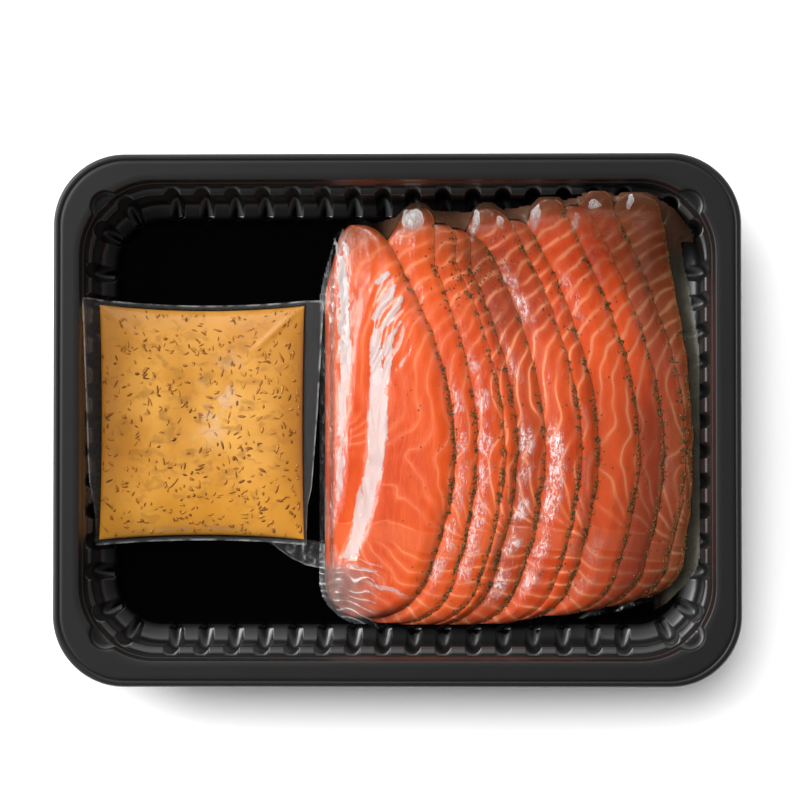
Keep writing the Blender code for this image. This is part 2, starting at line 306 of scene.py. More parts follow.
def trayLevels():  # half lengths, corner radius, height; flute, pocket, drop, width, bluntness
    def lower(reach, z, flute=0, drop=0, wide=1, blunt=1):
        return (tray["cornerX"] + reach, tray["cornerY"] + reach, reach, z, flute, 0, drop, wide, blunt)

    def upper(inset, corner, z, flute=0, pocket=0):
        return (tray["length"] / 2 - inset, tray["width"] / 2 - inset,
                corner - tray["cornerDraw"] * inset, z, flute, pocket, 0, 1, 1)

    ledge = tray["ledge"]
    ledgeReach = tray["ledgeReach"]
    top = tray["height"]
    levels = [lower(tray["floorReach"] * share, tray["wall"]) for share in (0.25, 0.6, 0.85)]
    for reach, z in zip(*coveProfile()):
        flute = smoothStep(16, 21.6, reach) ** 0.8
        drop = z - np.interp(reach + flute * tray["fluteDepth"], *zip(*tray["fluteFloor"]))
        short = max(tray["fluteRound"][0] - reach, 0) / tray["fluteRound"][1]
        wide = max(1 - short ** 2, 0.01) ** 0.5
        levels.append(lower(reach, z, flute, drop, wide, smoothStep(20.6, 21.75, reach)))
    startReach, startZ = levels[-1][2:4]
    for share in (0.2, 0.45, 0.7, 0.85, 0.95):
        levels.append(lower(startReach + (ledgeReach - 0.3 - startReach) * share,
                            startZ + (ledge - startZ) * share, 1))
    levels.append(lower(ledgeReach - 0.1, ledge - 0.12, 1))
    levels.append(lower(ledgeReach + 0.1, ledge, 1))
    for profile, base in (("overLedge", ledge), ("atShelf", top - tray["pocketDepth"]), ("atMouth", top)):
        for inset, rise, share in tray[profile]:
            shares = (share, 0) if profile == "overLedge" else (0, share)
            levels.append(upper(tray["flange"] + inset, tray["mouthCorner"], base + rise, *shares))
    return levels + [upper(inset, tray["rimCorner"], top - drop) for inset, drop in tray["rim"]]


def outside(x, y, level):  # how far a point lies outside a level's rounded rectangle
    halfX, halfY, radius = level[:3]
    overX = np.abs(x) - (halfX - radius)
    overY = np.abs(y) - (halfY - radius)
    corner = np.hypot(np.maximum(overX, 0), np.maximum(overY, 0))
    return corner + np.minimum(np.maximum(overX, overY), 0) - radius


def reachTo(columns, level):  # how far along each column a level's outline lies
    baseX, baseY, dirX, dirY = columns[:4]
    low = np.zeros(len(baseX))
    high = np.full(len(baseX), 60)
    for _ in range(34):
        middle = (low + high) / 2
        inside = outside(baseX + middle * dirX, baseY + middle * dirY, level) < 0
        low = np.where(inside, middle, low)
        high = np.where(inside, high, middle)
    return low


def reachPocket(columns, size):  # far side of the stacking pocket along a column
    baseX, baseY, dirX, dirY = columns[:4]
    acrossX = np.abs(baseX) - (tray["length"] / 2 - tray["pocketInset"])
    acrossY = np.abs(baseY) - (tray["width"] / 2 - tray["pocketInset"])
    along = -acrossX * np.abs(dirX) - acrossY * np.abs(dirY)
    beside = acrossX ** 2 + acrossY ** 2 - along ** 2
    room = (tray["pocketRadius"] * size) ** 2 - beside
    return np.where(room > 0, along + np.sqrt(np.maximum(room, 0)), 0)


def makeTray():
    columns = fluteColumns()
    levels = trayLevels()
    baseX, baseY, dirX, dirY, place = columns
    bpy.ops.object.select_all(action="DESELECT")
    bpy.ops.mesh.primitive_circle_add(vertices=len(place), radius=1.0, fill_type="NGON")
    shell = bpy.context.active_object
    shell.name = "moulded_tray"
    bpy.ops.object.mode_set(mode="EDIT")
    bpy.ops.mesh.select_mode(type="EDGE")
    bpy.ops.mesh.select_all(action="SELECT")
    bpy.ops.mesh.region_to_loop()
    for _ in levels[1:]:
        bpy.ops.mesh.extrude_edges_move(TRANSFORM_OT_translate={"value": (0.0, 0.0, 1.0)})
    bpy.ops.object.mode_set(mode="OBJECT")
    x, y, z = getPoints(shell)
    ring = np.rint(z).astype(int)
    column = np.rint(np.arctan2(y, x) * len(place) / math.tau).astype(int) % len(place)
    aside = clamp(np.abs(place))
    rounded = np.cos(aside * math.pi / 2) ** 0.7
    for number, level in enumerate(levels):
        height, flute, pocket, drop, wide, blunt = level[3:]
        hollow = 1 - aside ** 2 + (rounded - 1 + aside ** 2) * blunt
        reach = reachTo(columns, level) + flute * hollow * tray["fluteDepth"]
        if pocket > 0:
            reach = np.maximum(reach, reachPocket(columns, pocket))
        here = ring == number
        spot = column[here]
        well = clamp(1 - np.abs(place / wide) ** 1.5)
        x[here] = (baseX + reach * dirX)[spot]
        y[here] = (baseY + reach * dirY)[spot]
        z[here] = height - drop * well[spot]
    setPoints(shell, x, y, z)
    thick = shell.modifiers.new("wall", "SOLIDIFY")
    thick.thickness = tray["wall"] * mm
    thick.offset = -1
    bpy.ops.object.modifier_apply(modifier="wall")
    x, y, z = getPoints(shell) / mm
    setPoints(shell, x, y, np.maximum(z, 0))
    return shell


def trayLook():
    look = Look("black_moulded_plastic")
    height = look.node("ShaderNodeSeparateXYZ", None, {0: look.place()}, 2)
    flange = look.step(height, 0.0315, 0.0328)
    floor = look.step(height, 0.0012, 0.0006)
    grain = look.noise(2600, detail=2)
    wear = look.noise(90, detail=4, rough=0.6)
    color = look.mix(flange, (0.009, 0.009, 0.0093), (0.0062, 0.006, 0.006))
    color = look.mix(floor, color, (0.0003, 0.0003, 0.0003))
    look.set(Base_Color=color,
             Roughness=0.27 + flange * 0.13 + wear * 0.06 - floor * 0.2,
             Normal=look.bump(grain * flange + wear * 0.6, 0.00003, 0.35))
    return look


black = trayLook()
dress(makeTray(), black, "black_tray", "tray")
print("tray done")


# Stack of slices: slabs that climb over each other, all parallel to one sloping surface

stack = {
    # darkLow and darkHigh: strength of the painted shade low and high on each slice
    "darkLow": (0, 0, 0, 0, 0.08, 0, 0, 0.26, 0.6, 0.32, 0.3),
    "darkHigh": (0, 0, 0.06, 0.2, 0.3, 0.24, 0, 0, 0, 0, 0),
    "pitch": 7.9, "layer": 2.7, "soft": 0.7, "gap": 0.5, "rest": 0.95,
    "bowCentre": -9.6, "bowScale": 0.009, "bowPower": 1.82,
    "lobe": 5.5, "lobeStart": 40, "shoulder": 1.37, "tailRound": 14, "edgeRound": 1.5, "edgeSoft": 6.5,
    "rampStart": 50, "rampSoft": 8, "rampLength": 25.5, "rampRise": 24.2,
    "rampFrom": -20, "rampFull": 66, "sideStart": 84, "sideLength": 12, "sideRise": 3,
    "thinStart": 58, "thinRun": 19, "thinEnd": 0.45,
    "bulge": 0.1, "lineX": -4.1, "lineTurn": 0.07, "lineBend": 0.007, "lineFrom": -15,
    "slopes": ((-30, 0.85), (-16.6, 0.8), (-16.2, 0.46), (-12, 0.44), (-11.6, 0.95), (-6.6, 0.95),
               (-6.3, 0.5), (-0.6, 0.47), (1.4, 0.2), (40, 0.2)),
    "drape": 2.6,
    "columns": 70, "rows": 150,
}
rights = (19.2, 26.6, 35.9, 39.9, 49.2, 61.2, 66.9, 80.6, 89, 96.3, 98.6)
tips = (-14.4, 6.5, 13.8, 18.8, 22.4, 29.7, 38.7, 50.3, 58.6, 66.2, 77.5)
bows = (1.12, 0.9, 1, 1, 1, 1, 1, 1, 1, 0.95, 0.45)
sliceNames = [f"slice_{number + 1:02d}" for number in range(11)]
sliceBoxes = [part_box(name) for name in sliceNames]
tails = [low.y / mm for low, high in sliceBoxes]
tops = [high.y / mm for low, high in sliceBoxes]
firstLeft = sliceBoxes[0][0].x / mm


def softAbove(value, width):
    middle = (value + width) ** 2 / (4 * width)
    return np.where(value <= -width, 0, np.where(value >= width, value, middle))


def layersBelow(x):
    most = len(rights) - 1 + stack["soft"]
    climb = (x - firstLeft) / stack["pitch"]
    return most - softAbove(most - climb, stack["soft"])


def restHeight(x, y):
    ramp = softAbove(y - stack["rampStart"], stack["rampSoft"]) / stack["rampLength"]
    share = np.maximum(x - stack["rampFrom"], 0) / (stack["rampFull"] - stack["rampFrom"])
    side = np.maximum(x - stack["sideStart"], 0) / stack["sideLength"]
    return stack["rest"] + stack["rampRise"] * ramp * share + stack["sideRise"] * side ** 2


def bowedEdge(index, y):
    bow = stack["bowScale"] * np.abs(y - stack["bowCentre"]) ** stack["bowPower"]
    return rights[index] - bows[index] * bow


def sliceEdges(index, y):
    lobe = stack["lobe"]
    left = firstLeft + index * stack["pitch"]
    left = left + (tips[index] - lobe - left) * smoothStep(stack["lobeStart"], tops[index], y)
    wide = tips[index] + lobe
    right = np.minimum(np.maximum(bowedEdge(index, y), wide), wide + stack["shoulder"] * (tops[index] - y))
    wobble = 0.35 * ripples(y + 37 * index, 0 * y, (9, 21), 50 + index)
    right = right + wobble * smoothStep(tops[index], tops[index] - 12, y)
    fromTail = clamp((y - tails[index]) / stack["tailRound"])
    fromTip = clamp((tops[index] - y) / lobe)
    half = (right - left) / 2
    half = half * np.maximum(1 - (1 - fromTail) ** 2.4, 0) ** 0.42
    half = half * np.maximum(1 - (1 - fromTip) ** 2, 0) ** 0.5
    middle = (left + right) / 2
    return middle - half, middle + half


def rightEdge(index, y):  # held still beyond the slice's ends
    return sliceEdges(index, np.clip(y, tails[index], tops[index]))[1]


def coveredTo(index, y):  # the edge of the slice above
    return sliceEdges(index - 1, np.minimum(y, tops[index - 1]))[1]


def topProfile(x, y):  # the top slice: a level side, a band turned to the light, a steep flank
    bend = np.maximum(stack["lineFrom"] - y, 0) ** 2
    line = stack["lineX"] + stack["lineTurn"] * y - stack["lineBend"] * bend
    places, slopes = zip(*stack["slopes"])
    run = np.arange(-40, 50, 0.1)
    climb = np.cumsum(np.interp(run, places, slopes)) * 0.1
    edge = sliceEdges(0, y)[1]
    start = np.interp(edge - line, run, climb)
    base = restHeight(edge, y) + stack["layer"] * layersBelow(edge)
    return base + stack["layer"] - stack["gap"] + 0.3 + np.interp(x - line, run, climb) - start


def sliceLayers(index, x, y):  # underside and top of a slice, its edges not yet rounded
    thin = clamp((y - stack["thinStart"]) / stack["thinRun"])
    layer = stack["layer"] * (1 - stack["thinEnd"] * thin)
    under = restHeight(x, y) + layer * np.maximum(layersBelow(x) - index, 0)
    top = under + layer - stack["gap"]
    if index == 0:
        shape = topProfile(x, y)
        least = under + 0.7
        shape = (shape + least + np.sqrt((shape - least) ** 2 + 0.2)) / 2
        return under, top + (shape - top) * (1 - thin)
    start = coveredTo(index, y)
    share = clamp((x - start) / np.maximum(sliceEdges(index, y)[1] - start, 2))
    return under, top + stack["bulge"] * np.sin(math.pi * share ** 0.85) * (1 - 0.6 * thin)


def edgeShare(index, x, y, left, right):  # how much of the thickness is left towards the edges
    soft = stack["edgeSoft"]
    if index:
        soft = np.clip((right - coveredTo(index, y)) * 0.8, 2.6, 7)
    fromLeft = clamp((x - left) / stack["edgeRound"])
    fromRight = clamp((right - x) / soft)
    leftShare = np.sqrt(np.maximum(1 - (1 - fromLeft) ** 2, 0.02))
    rightShare = (1 - (1 - fromRight) ** (1.25 if index else 1.9)) * 0.93 + 0.07
    return np.minimum(leftShare, rightShare)


def edgeDrop(x, right):  # a slice sags on to the next one along its right edge
    return (stack["gap"] - 0.06) * smoothStep(stack["drape"], 0.2, right - x)


def sliceTop(index, x, y):  # top surface, minus one outside the slice
    left, right = sliceEdges(index, np.clip(y, tails[index], tops[index]))
    inside = (x >= left) & (x <= right) & (y >= tails[index]) & (y <= tops[index])
    under, top = sliceLayers(index, x, y)
    share = edgeShare(index, x, y, left, right)
    return np.where(inside, under + (top - under) * share - edgeDrop(x, right), -1)


grain = {
    "centre": (25, 6), "tall": 1.1, "spacing": 5.7, "denser": 0.05, "denserFrom": 28,
    "focus": (1.5, -37), "fanStep": math.radians(19), "fanTall": 0.55, "fanBend": 0.013,
    "fanFrom": 2, "fanTo": -16, "arcSpacing": 4.4, "arcBend": 0.03, "arcFrom": -37, "arcTo": -44,
}


def grainPhase(u, y, focusShift=0):  # whole numbers lie on the pale lines between the muscles
    reach = np.hypot(grain["centre"][0] - u, (y - grain["centre"][1]) * grain["tall"])
    nested = reach / grain["spacing"] + grain["denser"] * softAbove(reach - grain["denserFrom"], 3)
    focusX, focusY = grain["focus"]
    y = y - grain["fanBend"] * np.clip(focusX - u, 0, 17) ** 2 - focusShift
    fan = np.arctan2(focusX - u, (y - focusY) * grain["fanTall"]) / grain["fanStep"] + 3
    phase = nested + (fan - nested) * smoothStep(grain["fanFrom"], grain["fanTo"], y)
    arcs = (grain["arcFrom"] - y + grain["arcBend"] * (u + 5) ** 2) / grain["arcSpacing"] + 13.8
    return phase + (arcs - phase) * smoothStep(grain["arcFrom"], grain["arcTo"], y)


def paintedShadeAt(index, x, y):  # painted shade, where a slice is thin over the black tray and looks dark: first slice's margin, ends of the others
    if index:
        low = stack["darkLow"][index] * smoothStep(26, -4, y)
        high = stack["darkHigh"][index] * band(y, 24, 36, 52, 64)
        tail = 0.5 * smoothStep(tails[index] + 6, tails[index], y)
        rim = 0.7 * smoothStep(tops[index] - 1.6, tops[index], y)
        return np.max([low, high, tail, rim], axis=0)
    margin = 0.7 * smoothStep(-21.2, -22.6, x) * (1 - 0.75 * smoothStep(-23, -23.7, x))
    corner = 0.85 * smoothStep(-2, -22, x) * smoothStep(-45, -52, y + 0.2 * (x + 18))
    return np.max([margin, corner, 0.75 * smoothStep(-60, -66, y)], axis=0)


def makeSlice(index):
    piece = addSlab("fish_" + sliceNames[index], stack["columns"], stack["rows"])
    across, along, side = getPoints(piece)
    across = (towardsEnds(across, 0.55) + 1) / 2
    along = (towardsEnds(along) + 1) / 2
    tail = tails[index]
    end = tops[index]
    y = tail + (end - tail) * (0.004 + 0.992 * along)
    left, right = sliceEdges(index, y)
    x = left + (right - left) * across
    under, top = sliceLayers(index, x, y)
    share = edgeShare(index, x, y, left, right)
    z = np.where(side > 0.5, under + (top - under) * share, under + 0.03) - edgeDrop(x, right)
    z += 0.08 * ripples(x, y, (5, 9), 400 + index) * share * side
    setPoints(piece, x, y, z)
    draw = np.random.default_rng(300 + index)
    shift = draw.uniform(-0.35, 0.35)
    lower = draw.uniform(-4, 2)
    u = x - bowedEdge(index, y)
    near = 0.2  # the phase's slope is taken this far to each side
    alongX = grainPhase(u + near, y, lower) - grainPhase(u - near, y, lower)
    alongY = grainPhase(u, y + near, lower) - grainPhase(u, y - near, lower)
    warp = 0.24 * ripples(u * 1.3, y, (12, 34), 80 + index)
    setValues(piece, phase=grainPhase(u, y, lower) + warp + shift,
              pitch=2 * near / np.maximum(np.hypot(alongX, alongY), 0.02),
              tip=smoothStep(end - 16, end - 2, y), upper=smoothStep(8, 46, y),
              edge=np.clip(right - x, 0, 6), dim=paintedShadeAt(index, x, y), order=np.full(len(x), index / 10))
    return piece


def fishLook():
    look = Look("cured_fish")
    phase, pitch, tip, order, edge, upper, dim = look.attributes(
        "phase", "pitch", "tip", "order", "edge", "upper", "dim")
    cloud = look.noise(45, (1, 0.5, 1), 3, 0.55)
    patch = look.noise(110, (1, 0.4, 1), 2, 0.5)
    fine = look.noise(420, (1, 0.35, 1), 3, 0.6)
    stain = look.noise(520, (1, 0.5, 1), 3, 0.65, 0.5)
    wobble = look.noise(160, detail=2)
    line = look.math("FRACT", phase + wobble * 0.07)
    gapToLine = (0.5 - look.math("ABSOLUTE", line - 0.5)) * pitch
    width = 0.08 + cloud * 0.26 + order * 0.2 + upper * 0.14
    pale = look.step(gapToLine, width + 0.3, width * 0.3) * look.step(pitch, 0.9, 3)
    pale = pale * look.step(patch, 0.3, 0.62) * (0.24 + look.step(order, 0, 0.12) * 0.22)
    halo = look.step(gapToLine, 1.8, 0.2) * 0.1
    flesh = look.mix(look.step(cloud, 0.3, 0.7), (0.47, 0.048, 0.0085), (0.57, 0.08, 0.015))
    flesh = look.mix(look.step(fine, 0.42, 0.7) * 0.25, flesh, (0.66, 0.12, 0.028))
    shade = look.ramp(order + cloud * 0.06 - 0.03, [  # tint of each slice, first to last, with painted shade darkening the last ones, which lie thin over the black tray
        (0, (0.92, 0.9, 0.8)), (0.3, (0.8, 0.74, 0.68)), (0.4, (0.58, 0.5, 0.47)),
        (0.5, (0.7, 0.59, 0.55)), (0.6, (0.72, 0.62, 0.6)), (0.72, (0.86, 0.76, 0.78)),
        (0.82, (0.8, 0.68, 0.74)), (0.92, (0.36, 0.52, 0.76)), (1, (0.32, 0.5, 0.66))])
    flesh = look.mix(1, flesh, shade, "MULTIPLY")
    fat = look.mix(look.step(order, 0.5, 1), (0.75, 0.29, 0.14), (0.37, 0.17, 0.085))
    flesh = look.mix(pale + halo, flesh, fat)
    # painted shade: the slices' far ends darker brown, where they face away from the light and lie thin over
    # the black tray
    flesh = look.mix(tip * 0.55, flesh, (0.125, 0.042, 0.016))
    flesh = look.mix(look.step(edge, 2.2, 0.2) * 0.3, flesh, (0.2, 0.055, 0.012))
    rim = look.step(edge + stain * 2.6, 3.1, 1.3) * look.step(stain, 0.42, 0.62) * look.step(patch, 0.4, 0.58)
    flesh = look.mix(rim * (0.55 - tip * 0.4), flesh, (0.075, 0.042, 0.01))
    # painted shade: flesh that lies thin over the black tray is darkened
    flesh = look.mix(dim, flesh, (0.04, 0.02, 0.014))
    look.set(Base_Color=flesh, Roughness=0.5, Subsurface_Weight=0.2, Subsurface_Scale=0.003,
             Subsurface_Radius=(1, 0.35, 0.15), Specular_IOR_Level=0.12,
             Normal=look.bump(fine + pale * 0.8, 0.00012, 0.5))
    return look


fish = fishLook()
for number, nodeName in enumerate(sliceNames):
    dress(makeSlice(number), fish, "cured_fish", nodeName)
print("slices done")


# Clear film drawn tight over the stack, as a height field

film = {
    "step": 0.52, "slope": 1.15, "lift": 0.3, "passes": 4,
    "left": -31, "right": 104, "near": -72.5, "far": 82, "margin": 2.3,
    "ends": (0, 1, 5, 7, 9, 10), "betweenTips": 10, "rightMargin": 5.5,
    "white": (  # painted highlights, white spots: middle, half width and length, turn, strength
        (4.9, 67.3, 3.3, 3.7, 0, 1), (25.6, 65.6, 1.1, 4.9, -8, 0.8), (45.8, 67.6, 1.2, 4.4, -8, 0.8),
        (59.2, 65.7, 0.8, 3.2, -5, 0.6), (64, 77.2, 2.8, 0.8, 0, 0.7), (65.3, 71.4, 2, 0.9, 10, 0.6),
        (77.1, 72.2, 0.9, 2.2, -20, 0.6), (-19.7, 58.6, 0.7, 6, -6, 0.8), (-17.4, 62.6, 1, 2.6, -30, 0.7),
        (34, 66.2, 0.9, 2.4, 30, 0.3), (-21.8, -46, 1.2, 4.5, 0, 0.5), (-24.6, -30, 0.4, 9, 0, 0.4),
        (-25.3, 46, 0.35, 6, 8, 0.3), (-18.4, 36, 2.1, 20, 1, 0.3),
    ),
    "shards": (  # sharp-edged glints: from, to, width, strength
        (-7.2, 46.6, -3.4, 49.6, 2.8, 0.54), (-8.4, 34.5, -1.2, 45.2, 3.2, 0.5),
        (-7.4, 14, -7.6, 30, 4.4, 0.52), (-7.8, 28, 1.6, 41.2, 2.7, 0.5),
        (-5.6, 22, 0.8, 33.5, 2.2, 0.5), (-4.4, 12, -2.6, 26, 2.4, 0.48),
        (-19.6, 55, -18.2, 38, 3.2, 0.52), (-18.4, 42, -18, 15, 4.4, 0.5),
        (-18.8, 20, -19.4, -4, 2.4, 0.46), (-19.2, -6, -20.3, -26, 2, 0.4),
        (-20.8, 55.5, -21.6, 62, 0.9, 0.6), (-18.6, 60.5, -17, 56.6, 1.6, 0.6),
        (-17, -47.6, -7, -50.6, 1.3, 0.3), (-12, -53.4, 3, -58, 1.4, 0.3),
        (-18, -43.4, -12.6, -45, 1.4, 0.4), (-3.6, -6, -3.8, 8, 0.9, 0.5),
        (-7.2, 17, -7.4, -18, 6.6, 0.46), (-7.7, -10, -14.6, -42, 6, 0.46),
        (-13, -38, -17.5, -45, 4, 0.46),
    ),
    "crinkles": (  # fine wrinkles with a painted white sheen: slice, from and to along it, strength
        (1, -62, 22, 0.75), (2, -60, 30, 0.75), (3, -50, -10, 0.25), (4, -64, 4, 0.95),
        (4, 8, 32, 0.4), (5, -60, 2, 0.75), (6, -50, 10, 0.25), (7, -64, -34, 0.35),
        (5, 32, 57, 0.7), (7, 26, 54, 0.5), (8, 34, 60, 0.35), (2, 12, 34, 0.3),
        (9, -30, -8, 0.25),
    ),
}


def blur(height, times):
    for _ in range(times):
        height = (np.roll(height, 1, 0) + height * 2 + np.roll(height, -1, 0)) / 4
        height = (np.roll(height, 1, 1) + height * 2 + np.roll(height, -1, 1)) / 4
    return height


def spreadOver(field, cost, times, pick):  # grows a field outwards, at a cost for each step
    for _ in range(times):
        for axis in (0, 1):
            for turn in (1, -1):
                field = pick(field, np.roll(field, turn, axis) + cost)
    return field


def trayFloor(x, y):  # height of the tray's inside
    reach = outside(x, y, (tray["cornerX"], tray["cornerY"], 0))
    return np.interp(reach, *coveProfile())


def crinkled(x, y):  # where each strip's higher side has fine wrinkles, raised in the film and painted with a white sheen
    total = np.zeros(x.shape)
    until = 0.72 - 0.26 * smoothStep(8, 28, y)
    broken = np.clip(0.9 + ripples(y, x * 0.3, (11,), 632), 0.3, 1)
    sway = 0.1 * ripples(x, y, (6, 13), 631)
    for index, low, high, amount in film["crinkles"]:
        start = rightEdge(index - 1, y)
        share = (x - start) / np.maximum(rightEdge(index, y) - start, 2) + sway
        near = band(share, 0.02, 0.16, until - 0.3, until)
        run = band(y, low, low + 9, high - 9, high)
        total = np.maximum(total, amount * near * run * broken)
    return total


def crumplesPaintedWhite(x, y):  # crumpled spots of the film, painted white as highlights
    total = np.zeros(x.shape)
    swayX = x + 0.45 * ripples(x, y, (3.5, 7), 641)
    swayY = y + 0.7 * ripples(x, y, (4, 8), 642)
    for middleX, middleY, wide, long, turn, amount in film["white"]:
        cosine = math.cos(math.radians(turn))
        sine = math.sin(math.radians(turn))
        across = (swayX - middleX) * cosine + (swayY - middleY) * sine
        along = (swayY - middleY) * cosine - (swayX - middleX) * sine
        total = np.maximum(total, amount * smoothStep(1.25, 0.45, np.hypot(across / wide, along / long)))
    return total


def shardsAt(x, y):  # mask and strength of the sharp-edged glints
    swayX = x + 0.5 * ripples(x, y, (2.2, 5), 651)
    swayY = y + 0.45 * ripples(x, y, (2.6, 6), 652)
    mask = np.zeros(x.shape)
    strength = np.zeros(x.shape)
    for fromX, fromY, toX, toY, wide, amount in film["shards"]:
        runX = toX - fromX
        runY = toY - fromY
        share = clamp(((swayX - fromX) * runX + (swayY - fromY) * runY) / (runX ** 2 + runY ** 2))
        gap = np.hypot(swayX - fromX - share * runX, swayY - fromY - share * runY)
        half = wide * (0.28 + 0.22 * np.sin(math.pi * share))
        inside = np.clip(0.5 + (half - gap) / 1.4, 0, 0.8)
        strength = np.where(inside > 0.02, np.maximum(strength, amount), strength)
        mask = np.maximum(mask, inside)
    return mask, strength


def filmFolds(x, y):  # where the film is folded: phase across the folds, strength of the painted highlights on their crests, height
    fromLine = x - (stack["lineX"] + stack["lineTurn"] * y)
    flank = smoothStep(-9, -12.5, fromLine) * band(y, -46, -34, 58, 68)
    down = (x + 1.5 * ripples(0.3 * x, y, (9, 26), 611)) / 5.6 + 0.25 * ripples(x, y, (7,), 612)
    corner = smoothStep(-43, -49, y) * smoothStep(4, -14, x)
    lean = y + 50 + 0.016 * (x + 21) ** 2 + 1.6 * ripples(0.7 * x, y, (6, 13), 613)
    lean = lean / (2.5 + 0.05 * (x + 24))
    top = band(x, -13, -8, 0, 8) * band(y, 12, 22, 44, 52)
    slant = (2.1 * x - y + 3 * ripples(x, y, (12, 26), 614)) / 8.5
    folds = ((0.07 * flank, down), (0.34 * corner, lean), (0.26 * top, slant))
    height = sum(depth * np.sin(math.tau * phase) for depth, phase in folds)
    tips = smoothStep(34, 50, y) + 0.5 * smoothStep(-44, -56, y)
    crumples = (  # depth, stretch of x and y, waves
        (0.16 * tips, 1, 0.55, (4.5, 8)),
        (0.09 * smoothStep(20, 30, x), 1.8, 0.45, (5, 3.2)),
        (0.07 * smoothStep(-13, -17, fromLine), 1.5, 0.4, (5, 3)),
        (0.3 * smoothStep(0.1, 0.6, crumplesPaintedWhite(x, y)), 1, 1, (3.2, 2.2)),
        (0.22 * corner, 0.6, 1, (3, 2)),
        (0.12 * crinkled(x, y), 1, 0.5, (3, 2.2)),
    )
    for number, (depth, stretchX, stretchY, waves) in enumerate(crumples):
        height += depth * ripples(x * stretchX, y * stretchY, waves, 615 + number)
    phase = np.where(corner > 0, lean, np.where(fromLine < -9, down, slant))
    return phase, np.max([flank * 0.25, corner, top * 0.25], axis=0), height


def envelopeAt(x):  # line over the ends of the slices that stand out
    return np.interp(x, [tips[index] for index in film["ends"]], [tops[index] for index in film["ends"]])


def makeFilm():  # the film and the slices' top surface, on one grid
    step = film["step"]
    columns = int((film["right"] - film["left"]) / step)
    rows = int((film["far"] - film["near"]) / step)
    piece = addGrid("clear_film_over_slices", columns, rows)
    across, along = getPoints(piece)[:2]
    at = (np.rint((across + 1) / 2 * columns).astype(int), np.rint((along + 1) / 2 * rows).astype(int))
    gridX, gridY = np.meshgrid(np.linspace(film["left"], film["right"], columns + 1),
                               np.linspace(film["near"], film["far"], rows + 1), indexing="ij")
    fishTop = np.max([sliceTop(index, gridX, gridY) for index in range(len(rights))], axis=0)
    away = blur(spreadOver(np.where(fishTop > 0, 0, 99), step, 24, np.minimum), 2)[at]
    draped = spreadOver(fishTop, -film["slope"] * step, 40, np.maximum)
    draped = np.maximum(draped, trayFloor(gridX, gridY) + 0.25)
    for _ in range(film["passes"]):
        draped = np.maximum(blur(draped, 3), fishTop + film["lift"])
    phase, folded, height = filmFolds(gridX, gridY)
    x = gridX[at]
    y = gridY[at]
    z = blur(np.maximum(draped + height, fishTop + 0.12), 1)[at]
    setPoints(piece, x, y, z)
    edge = rightEdge(0, y)
    first = smoothStep(edge + 0.5, edge - 2, x) * (1 - 0.85 * smoothStep(-20.6, -22.2, x))
    first = first * (1 - 0.9 * smoothStep(45, 53, y) * smoothStep(-17, -15, x))
    # painted sheen: the crumpled film in the near left corner and along the left edge is painted pale
    corner = smoothStep(-43, -51, y + 0.2 * (x + 18)) * smoothStep(2, -24, x) * 0.17
    mask, strength = shardsAt(x, y)
    veil = smoothStep(9, -1, envelopeAt(x) - y) * smoothStep(-16, 2, x)
    setValues(piece, away=away, first=first, foldPhase=phase[at], folded=folded[at],
              shard=mask, shine=strength,
              brine=smoothStep(-12, 0, x) * smoothStep(20, 45, y + 0.5 * x),
              green=smoothStep(85, 92, x) * smoothStep(62, 50, y),
              crinkled=crinkled(x, y), white=crumplesPaintedWhite(x, y),
              haze=np.maximum(corner, smoothStep(-21, -24, x) * 0.06),
              veil=np.maximum(veil, 0.4 * smoothStep(74, 94, x) * smoothStep(4, 40, y)))
    allowed = np.full(len(x), film["margin"])  # how far the film reaches beyond the fish
    allowed[(y > 40) & (x > -15) & (y < envelopeAt(x) - 1)] = film["betweenTips"]
    allowed[(x > 85) & (y < 60)] = film["rightMargin"]
    pastWall = outside(x, y, (tray["cornerX"] + 22, tray["cornerY"] + 22, 22))
    gone = (away > allowed) | (pastWall > np.where(z > tray["ledge"] + 0.6, 1, 0))
    bpy.ops.object.mode_set(mode="EDIT")
    bpy.ops.mesh.select_mode(type="VERT")
    bpy.ops.mesh.select_all(action="DESELECT")
    bpy.ops.object.mode_set(mode="OBJECT")
    piece.data.vertices.foreach_set("select", gone)
    bpy.ops.object.mode_set(mode="EDIT")
    bpy.ops.mesh.delete(type="VERT")
    bpy.ops.object.mode_set(mode="OBJECT")
    return piece, (gridX, gridY, fishTop)


